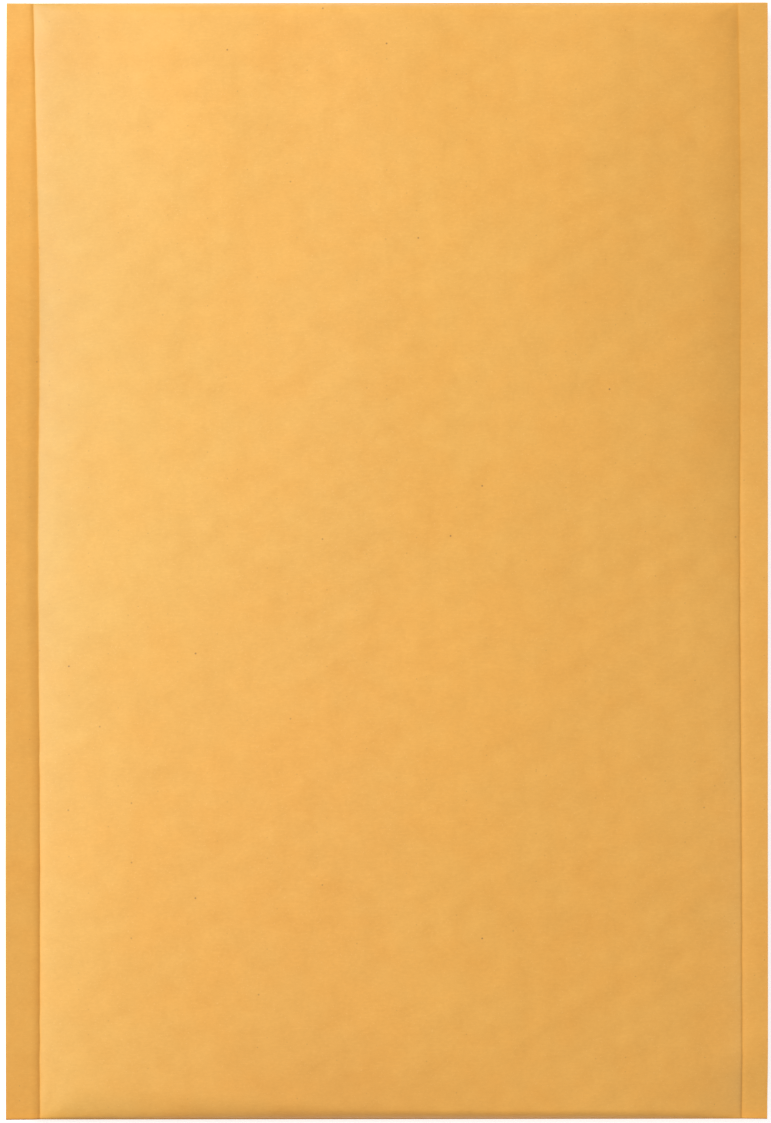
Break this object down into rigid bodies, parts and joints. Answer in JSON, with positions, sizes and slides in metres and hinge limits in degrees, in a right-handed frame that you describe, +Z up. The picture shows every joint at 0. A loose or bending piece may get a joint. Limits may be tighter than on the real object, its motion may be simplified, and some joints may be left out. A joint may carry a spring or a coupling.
{
  "type": "bubble mailer",
  "caption": "Closed padded mailer of golden kraft paper: crowned pocket between two flat side seams, folded bottom, flap glued down on the back.",
  "frame": {"origin": "middle of the closed mailer's outline, on the surface that its back rests on", "axes": "+X to the right across the address side, +Y from the bottom fold to the top fold, +Z up out of the address side"},
  "size_m": [0.24, 0.3516, 0.0108],
  "materials": {
    "kraft_paper": "satin"
  },
  "bodies": {
    "root": {"bubble_mailer": "kraft_paper"}
  },
  "joints": []
}
